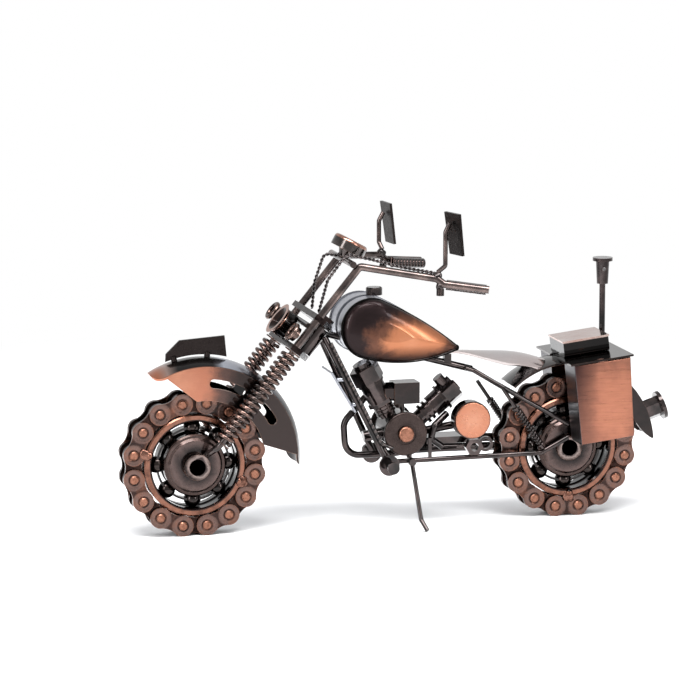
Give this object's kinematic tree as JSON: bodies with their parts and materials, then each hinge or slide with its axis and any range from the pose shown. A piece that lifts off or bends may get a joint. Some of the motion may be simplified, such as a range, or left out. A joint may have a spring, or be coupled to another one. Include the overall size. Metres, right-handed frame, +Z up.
{
  "type": "welded motorcycle model",
  "caption": "Desk-top motorcycle welded from roller chain, ball bearings, nuts and bent rod, with turning wheels, a steering fork and a folding kickstand.",
  "frame": {"origin": "on the floor, at the middle of the bounding box", "axes": "+X towards the tail lamp, +Y to the machine's right side, +Z up"},
  "size_m": [0.2226, 0.0784, 0.1268],
  "materials": {
    "black_rod": "blackened, glossy",
    "chain_plate": "brown oxide, satin",
    "copper_sheet": "brushed antique copper over black",
    "copper_trim": "rubbed antique copper",
    "bronze_ring": "dark antique copper",
    "worn_steel": "blackened, rubbed bright",
    "dark_plate": "brown-black lacquer, satin"
  },
  "bodies": {
    "frame": {"air_cleaner": "black_rod", "air_cleaner_cover": "copper_sheet", "antenna": "black_rod", "carburettor": "black_rod", "crank_cable": "black_rod", "crank_cap": "copper_trim", "crank_cover": "dark_plate", "crankcase": "black_rod", "cylinders": "black_rod", "down_tubes": "black_rod", "exhaust_pipes": "black_rod", "foot_pegs": "black_rod", "frame_tubes": "black_rod", "front_guard": "dark_plate", "lower_rails": "black_rod", "luggage_platform": "dark_plate", "rear_axle_tube": "worn_steel", "rear_fender": "dark_plate", "rear_hub_rings": "bronze_ring", "seat_plate": "copper_sheet", "shock_rods": "black_rod", "shock_springs": "worn_steel", "side_boxes": "copper_sheet", "silencers": "black_rod", "steering_head": "black_rod", "tail_lamp": "black_rod", "tank_cap": "copper_trim", "tank_shells": "copper_sheet", "top_box": "dark_plate"},
    "steering": {"front_hub_rings": "bronze_ring", "front_axle_tube": "worn_steel", "fork_rods": "black_rod", "fork_springs": "worn_steel", "handlebars": "black_rod", "grips": "copper_trim", "mirror_stems": "black_rod", "mirror_plates": "copper_sheet", "fork_clamps": "black_rod", "headlamp": "copper_trim", "turn_signals": "copper_trim", "speedometer": "copper_trim", "handlebar_cables": "black_rod", "front_fender": "copper_sheet", "front_plate": "dark_plate"},
    "front_wheel": {"front_outer_link_plates": "chain_plate", "front_inner_link_plates": "chain_plate", "front_chain_pins": "copper_trim", "front_chain_rollers": "worn_steel", "front_bearing_outer_ring": "bronze_ring"},
    "front_cage": {"front_ball_cage": "bronze_ring", "front_bearing_balls": "worn_steel"},
    "rear_wheel": {"rear_outer_link_plates": "chain_plate", "rear_inner_link_plates": "chain_plate", "rear_chain_pins": "copper_trim", "rear_chain_rollers": "worn_steel", "rear_bearing_outer_ring": "bronze_ring"},
    "rear_cage": {"rear_ball_cage": "bronze_ring", "rear_bearing_balls": "worn_steel"},
    "kickstand": {"kickstand_leg": "black_rod"}
  },
  "joints": [
    {"name": "steering", "type": "hinge", "parent": "frame", "child": "steering", "pos_m": [-0.03551, 0, 0.07493], "axis": [0.6361, 0, 0.7716], "range_deg": [-25, 25]},
    {"name": "front_wheel_spin", "type": "hinge", "parent": "steering", "child": "front_wheel", "pos_m": [-0.08321, 0, 0.02807], "axis": [0, 1, 0], "continuous": true},
    {"name": "front_cage_spin", "type": "hinge", "parent": "steering", "child": "front_cage", "pos_m": [-0.08321, 0, 0.02807], "axis": [0, 1, 0], "continuous": true},
    {"name": "rear_wheel_spin", "type": "hinge", "parent": "frame", "child": "rear_wheel", "pos_m": [0.06819, 0, 0.02807], "axis": [0, 1, 0], "continuous": true},
    {"name": "rear_cage_spin", "type": "hinge", "parent": "frame", "child": "rear_cage", "pos_m": [0.06819, 0, 0.02807], "axis": [0, 1, 0], "continuous": true},
    {"name": "kickstand_fold", "type": "hinge", "parent": "frame", "child": "kickstand", "pos_m": [0.00239, -0.011, 0.0263], "axis": [0, -1, 0], "range_deg": [0, 70]}
  ],
  "couplings": [
    {"joint": "front_cage_spin", "follows": "front_wheel_spin", "ratio": 0.61842},
    {"joint": "rear_cage_spin", "follows": "rear_wheel_spin", "ratio": 0.61842}
  ]
}
